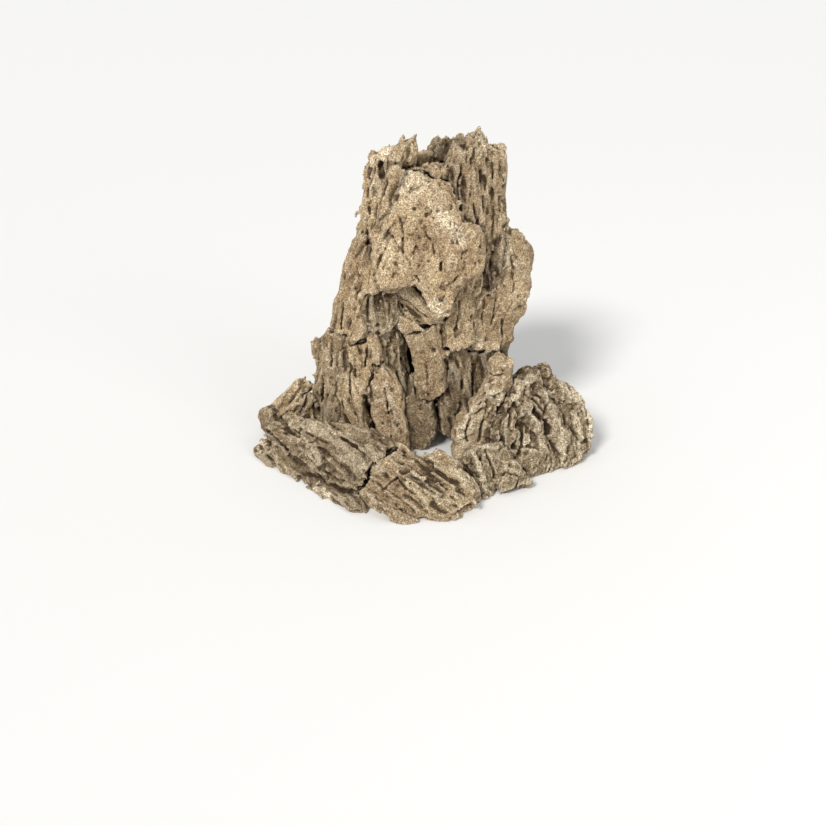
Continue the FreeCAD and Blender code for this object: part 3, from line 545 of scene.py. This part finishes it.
def work(job):
    name, co, tri = job
    s = STONES[name]
    h = s.get("pitch", PITCH)
    band_cells = int(math.ceil(REACH / h))
    edge = band_cells * h
    t = vdb.createLinearTransform(voxelSize=h)
    grid = vdb.FloatGrid.createLevelSetFromPolygons(co.astype(np.float64), triangles=tri.astype(np.uint32), transform=t, halfWidth=band_cells)
    lo, hi = co.min(0), co.max(0)
    pad = int(math.ceil(7.0 / h))
    i0 = np.floor(lo / h).astype(int) - pad
    i1 = np.ceil(hi / h).astype(int) + pad
    shape = tuple(int(q) for q in (i1 - i0 + 1))
    D = np.zeros(shape, f4)
    grid.copyToArray(D, ijk=tuple(int(q) for q in i0))
    D = 0.5 * D + 0.5 * blur(D, max(1, round(1.8 / h)))          # takes the machined edges off
    band = np.abs(D) < 7.2
    idx = np.argwhere(band)
    P = ((idx + i0) * h).astype(f4)
    gx, gy, gz = np.gradient(D)
    grad = np.stack([gx[band], gy[band], gz[band]], 1) / h
    disp = relief(s, P, grad)
    extra, patch_and_painted_light = placed(name, s, P, grad)
    disp = np.clip(disp + s["grow"], -6.2, 4.2)
    disp = np.clip(disp + extra, -6.8, 4.8)
    E = D.copy()
    E[band] = D[band] - disp
    # drop crumbs that hang free: only what grows out of the solid's core stays
    solid = E < 0
    core = solid & (D < -1.5)
    for _ in range(int(12 / h)):
        grown = core.copy()
        grown[1:] |= core[:-1]
        grown[:-1] |= core[1:]
        grown[:, 1:] |= core[:, :-1]
        grown[:, :-1] |= core[:, 1:]
        grown[:, :, 1:] |= core[:, :, :-1]
        grown[:, :, :-1] |= core[:, :, 1:]
        core = grown & solid
    E[solid & ~core] = 0.6
    # flat on the floor where the solid is
    if lo[2] < 0.5:
        zz = (np.arange(shape[2]) + i0[2]) * h
        E = np.maximum(E, -zz[None, None, :].astype(f4))
    out = vdb.FloatGrid()
    out.background = float(edge)
    out.transform = t
    E = np.clip(E, -edge, edge)
    out.copyFromArray(E, ijk=tuple(int(q) for q in i0))
    out.prune(0.0)
    pts, tris, quads = out.convertToPolygons(isovalue=0.0, adaptivity=0.0)
    gp = pts / h - i0
    # hollow and edge measures, used in the material for painted shade in hollows and a painted highlight on convex
    # edges
    cav = sample(blur(E, max(1, round(1.9 / h))), gp)
    cav2 = sample(blur(E, max(2, round(5.1 / h))), gp)
    W = np.zeros(shape, f4)
    W[band] = patch_and_painted_light
    return dict(name=name, pts=pts, tris=tris, quads=quads, cav=cav, cav2=cav2, patch_and_painted_light=sample(W, gp), E=E, i0=i0, h=h)


def joints(m):
    """How near each surface point is to a neighbouring stone of the same body, mm."""
    near = np.full(len(m["pts"]), 9.0, f4)
    lo, hi = m["pts"].min(0) - 8, m["pts"].max(0) + 8
    for o in made:
        if o is m or body_of[o["name"]] != body_of[m["name"]]:
            continue
        olo = o["i0"] * o["h"]
        ohi = olo + np.array(o["E"].shape) * o["h"]
        if (olo > hi).any() or (ohi < lo).any():
            continue
        gp = m["pts"] / o["h"] - o["i0"]
        ok = ((gp > 1) & (gp < np.array(o["E"].shape) - 3)).all(1)
        near[ok] = np.minimum(near[ok], sample(o["E"], gp[ok]))
    return near


def build(name, pts, tris, quads, cav, cav2, patch_and_painted_light, near):
    faces = np.concatenate([quads[:, ::-1].reshape(-1), tris[:, ::-1].reshape(-1)]).astype(np.int32)
    sizes = np.concatenate([np.full(len(quads), 4), np.full(len(tris), 3)]).astype(np.int32)
    me = bpy.data.meshes.new(name + "_rock")
    me.vertices.add(len(pts))
    me.vertices.foreach_set("co", (pts / 1000.0).astype(f4).reshape(-1))
    me.loops.add(len(faces))
    me.loops.foreach_set("vertex_index", faces)
    me.polygons.add(len(sizes))
    me.polygons.foreach_set("loop_start", np.concatenate([[0], np.cumsum(sizes)[:-1]]).astype(np.int32))
    me.polygons.foreach_set("loop_total", sizes)
    me.update(calc_edges=True)
    me.validate()
    me.polygons.foreach_set("use_smooth", np.ones(len(sizes), bool))
    # red: hollow or edge close by, used for painted shade in hollows and painted highlight on edges; green: wider
    # hollow, used for painted shade; blue: painted shade where a neighbouring stone is close; alpha: pale patch,
    # painted shade in holes and dark patches, painted highlight on rims
    col = np.ones((len(pts), 4), f4)
    col[:, 0] = np.clip(0.5 + cav * 0.55, 0, 1)
    col[:, 1] = np.clip(0.5 + cav2 * 0.16, 0, 1)
    # painted shade where a neighbouring stone is close
    col[:, 2] = smooth(7.0, 1.0, near) * STONES[name].get("seam", 1.0)
    col[:, 3] = np.clip(0.5 + patch_and_painted_light * 0.5, 0, 1)
    at = me.color_attributes.new("painted_light_and_patches", "FLOAT_COLOR", "POINT")
    at.data.foreach_set("color", col.reshape(-1))
    ob = bpy.data.objects.new(name + "_rock", me)
    bpy.context.scene.collection.objects.link(ob)
    return ob


# ---- material -------------------------------------------------------------------------------
def rgb(r, g, b):
    f = lambda c: (c / 255 / 12.92 if c / 255 <= 0.04045 else ((c / 255 + 0.055) / 1.055) ** 2.4)
    return (f(r), f(g), f(b), 1.0)


def stone_material(name, tint, edge):
    mat = bpy.data.materials.new(name)
    mat.use_nodes = True
    nt = mat.node_tree
    N, K = nt.nodes, nt.links
    bsdf = N["Principled BSDF"]
    bsdf.inputs["Roughness"].default_value = 0.95
    bsdf.inputs["Specular IOR Level"].default_value = 0.2
    tc = N.new("ShaderNodeTexCoord")
    at = N.new("ShaderNodeVertexColor")
    at.layer_name = "painted_light_and_patches"
    sep = N.new("ShaderNodeSeparateColor")
    K.new(at.outputs["Color"], sep.inputs["Color"])

    def noise(scale, detail, rough=0.6, dist=0.0):
        t = N.new("ShaderNodeTexNoise")
        t.inputs["Scale"].default_value = scale
        t.inputs["Detail"].default_value = detail
        t.inputs["Roughness"].default_value = rough
        t.inputs["Distortion"].default_value = dist
        K.new(tc.outputs["Object"], t.inputs["Vector"])
        return t.outputs["Fac"]

    def math_(op, a, b, c=None, clamp=False):
        m = N.new("ShaderNodeMath")
        m.operation = op
        m.use_clamp = clamp
        for i, q in enumerate((a, b, c)):
            if q is None:
                continue
            if isinstance(q, (int, float)):
                m.inputs[i].default_value = q
            else:
                K.new(q, m.inputs[i])
        return m.outputs[0]

    def span(value, a, b, lo=0.0, hi=1.0):
        m = N.new("ShaderNodeMapRange")
        m.inputs["From Min"].default_value = a
        m.inputs["From Max"].default_value = b
        m.inputs["To Min"].default_value = lo
        m.inputs["To Max"].default_value = hi
        K.new(value, m.inputs["Value"])
        return m.outputs[0]

    def mix(fac, a, b, blend="MIX"):
        m = N.new("ShaderNodeMix")
        m.data_type = "RGBA"
        m.blend_type = blend
        m.clamp_factor = True
        for sock, q in ((m.inputs[0], fac), (m.inputs[6], a), (m.inputs[7], b)):
            if isinstance(q, (int, float, tuple)):
                sock.default_value = q
            else:
                K.new(q, sock)
        return m.outputs[2]

    def ramp(fac, *stops):
        r = N.new("ShaderNodeValToRGB")
        e = r.color_ramp.elements
        e[0].position, e[0].color = stops[0]
        e[1].position, e[1].color = stops[-1]
        for pos, c in stops[1:-1]:
            e.new(pos).color = c
        K.new(fac, r.inputs["Fac"])
        return r.outputs["Color"]

    speck = noise(760.0, 2.0, 0.8)
    coarse = noise(300.0, 2.0, 0.6)
    mid = noise(110.0, 3.0, 0.6)
    low = noise(24.0, 3.0, 0.55)
    # tan to umber, drifting slowly over the stone
    f = math_("MULTIPLY_ADD", low, 1.3, -0.15)
    f = math_("ADD", f, math_("MULTIPLY_ADD", mid, 0.7, -0.35), clamp=True)
    base = ramp(f, (0.0, rgb(112, 90, 66)), (0.35, rgb(154, 130, 100)), (0.65, rgb(178, 155, 122)), (1.0, rgb(218, 199, 168)))
    # the stone's colour factor: partly its own tone, partly painted shade on stones that sit in shade
    base = mix(1.0, base, tint, "MULTIPLY")
    # pale patches, with a painted highlight along rims, and dark patches of painted shade in holes, grooves and shaded
    # slabs
    pale = span(at.outputs["Alpha"], 0.5, 1.0)
    pale = math_("MULTIPLY", pale, span(coarse, 0.36, 0.56), clamp=True)
    base = mix(math_("MULTIPLY", pale, 0.9), base, rgb(236, 223, 196))
    # painted shade in holes and dark patches
    base = mix(math_("MULTIPLY", span(at.outputs["Alpha"], 0.5, 0.0), 0.75), base, rgb(66, 50, 34))
    crust = noise(190.0, 3.0, 0.65, 0.4)
    streak = math_("MULTIPLY", span(crust, 0.56, 0.68), span(sep.outputs["Red"], 0.44, 0.58), clamp=True)
    streak = math_("MULTIPLY", streak, span(low, 0.42, 0.60), clamp=True)
    base = mix(math_("MULTIPLY", streak, 0.65), base, rgb(228, 213, 183))
    # painted shade in hollows and wider hollows, painted shade where a neighbouring stone is close, painted highlight
    # on convex edges
    base = mix(math_("MULTIPLY", span(sep.outputs["Red"], 0.39, 0.00), 0.80), base, rgb(50, 38, 25))
    base = mix(math_("MULTIPLY", span(sep.outputs["Green"], 0.42, 0.10), 0.50), base, rgb(60, 46, 31))
    # painted shade where a neighbouring stone is close
    base = mix(math_("MULTIPLY", sep.outputs["Blue"], span(mid, 0.30, 0.62, 0.45, 0.95)), base, rgb(56, 43, 29))
    # painted highlight on convex edges and ridges
    base = mix(math_("MULTIPLY", span(sep.outputs["Red"], 0.60, 0.95), edge), base, rgb(230, 216, 192))
    # sandy speckle, light and dark grains
    grain = ramp(speck, (0.35, (0.26, 0.23, 0.19, 1)), (0.46, (0.78, 0.76, 0.73, 1)), (0.55, (1.14, 1.12, 1.09, 1)), (0.66, (1.95, 1.90, 1.82, 1)))
    base = mix(0.9, base, grain, "MULTIPLY")
    K.new(base, bsdf.inputs["Base Color"])
    grit = noise(950.0, 3.0, 0.8)
    b = N.new("ShaderNodeBump")
    b.inputs["Strength"].default_value = 1.0
    b.inputs["Distance"].default_value = 0.0013
    K.new(math_("ADD", grit, math_("MULTIPLY", coarse, 0.8)), b.inputs["Height"])
    K.new(b.outputs["Normal"], bsdf.inputs["Normal"])
    return mat


# ---- build ----------------------------------------------------------------------------------
body_of = {}
for body, members in frame["record"]["behaviour"]["bodies"].items():
    for member in members:
        body_of[member] = body

jobs = [(name,) + carve(name) for name in STONES]
jobs.sort(key=lambda j: -np.prod(j[1].max(0) - j[1].min(0)))
with ThreadPoolExecutor(4) as pool:
    made = list(pool.map(work, jobs))
    nears = list(pool.map(joints, made))
total = 0
for m, near in sorted(zip(made, nears), key=lambda q: q[0]["name"]):
    name = m["name"]
    ob = build(name, m["pts"], m["tris"], m["quads"], m["cav"], m["cav2"], m["patch_and_painted_light"], near)
    total += len(m["tris"]) + 2 * len(m["quads"])
    # the colour factor carries painted shade; the last number is the strength of the painted highlight on convex edges,
    # stronger on the knobbly stones
    ob.data.materials.append(stone_material(name + "_stone", STONES[name]["tint"] + (1.0,), 0.42 if STONES[name]["kind"] == "knob" else 0.30))
    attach(ob, body_of[name])
    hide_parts(name)
print("triangles", total)

# ---- stage ----------------------------------------------------------------------------------
me = bpy.data.meshes.new("floor")
R = 6.0
me.from_pydata([(-R, -R, 0), (R, -R, 0), (R, R, 0), (-R, R, 0)], [], [(0, 1, 2, 3)])
floor = bpy.data.objects.new("floor", me)
bpy.context.scene.collection.objects.link(floor)
fm = bpy.data.materials.new("floor")
fm.use_nodes = True
fb = fm.node_tree.nodes["Principled BSDF"]
fb.inputs["Base Color"].default_value = (0.82, 0.82, 0.81, 1)
fb.inputs["Roughness"].default_value = 0.9
me.materials.append(fm)

world = bpy.data.worlds.new("studio")
bpy.context.scene.world = world
world.use_nodes = True
bg = world.node_tree.nodes["Background"]
bg.inputs["Color"].default_value = (1.0, 1.0, 1.0, 1)
bg.inputs["Strength"].default_value = 0.60
bpy.context.scene.view_settings.view_transform = "Standard"


def area(name, loc, target, size, power, color=(1, 1, 1)):
    ld = bpy.data.lights.new(name, "AREA")
    ld.shape = "DISK"
    ld.size = size
    ld.energy = power
    ld.color = color
    ob = bpy.data.objects.new(name, ld)
    bpy.context.scene.collection.objects.link(ob)
    ob.location = loc
    ob.rotation_euler = Vector([t - q for t, q in zip(target, loc)]).to_track_quat("-Z", "Y").to_euler()
    return ob


sun = bpy.data.lights.new("key", "SUN")
sun.energy = 2.6
sun.angle = math.radians(14)
sun.color = (1.0, 0.985, 0.96)
key = bpy.data.objects.new("key", sun)
bpy.context.scene.collection.objects.link(key)
key.rotation_euler = Vector((0.42, 0.72, -0.72)).to_track_quat("-Z", "Y").to_euler()
area("fill", (1.1, -1.0, 0.8), (0, 0, 0.12), 0.8, 4, (0.98, 0.99, 1.0))

cam = bpy.data.cameras.new("camera")
cam.lens = 43.1
cam.sensor_width = 36
camera = bpy.data.objects.new("camera", cam)
camera.location = (-0.01045, -0.83225, 0.480)
camera.rotation_euler = (math.radians(62.7), 0, 0)
bpy.context.scene.collection.objects.link(camera)
bpy.context.scene.camera = camera
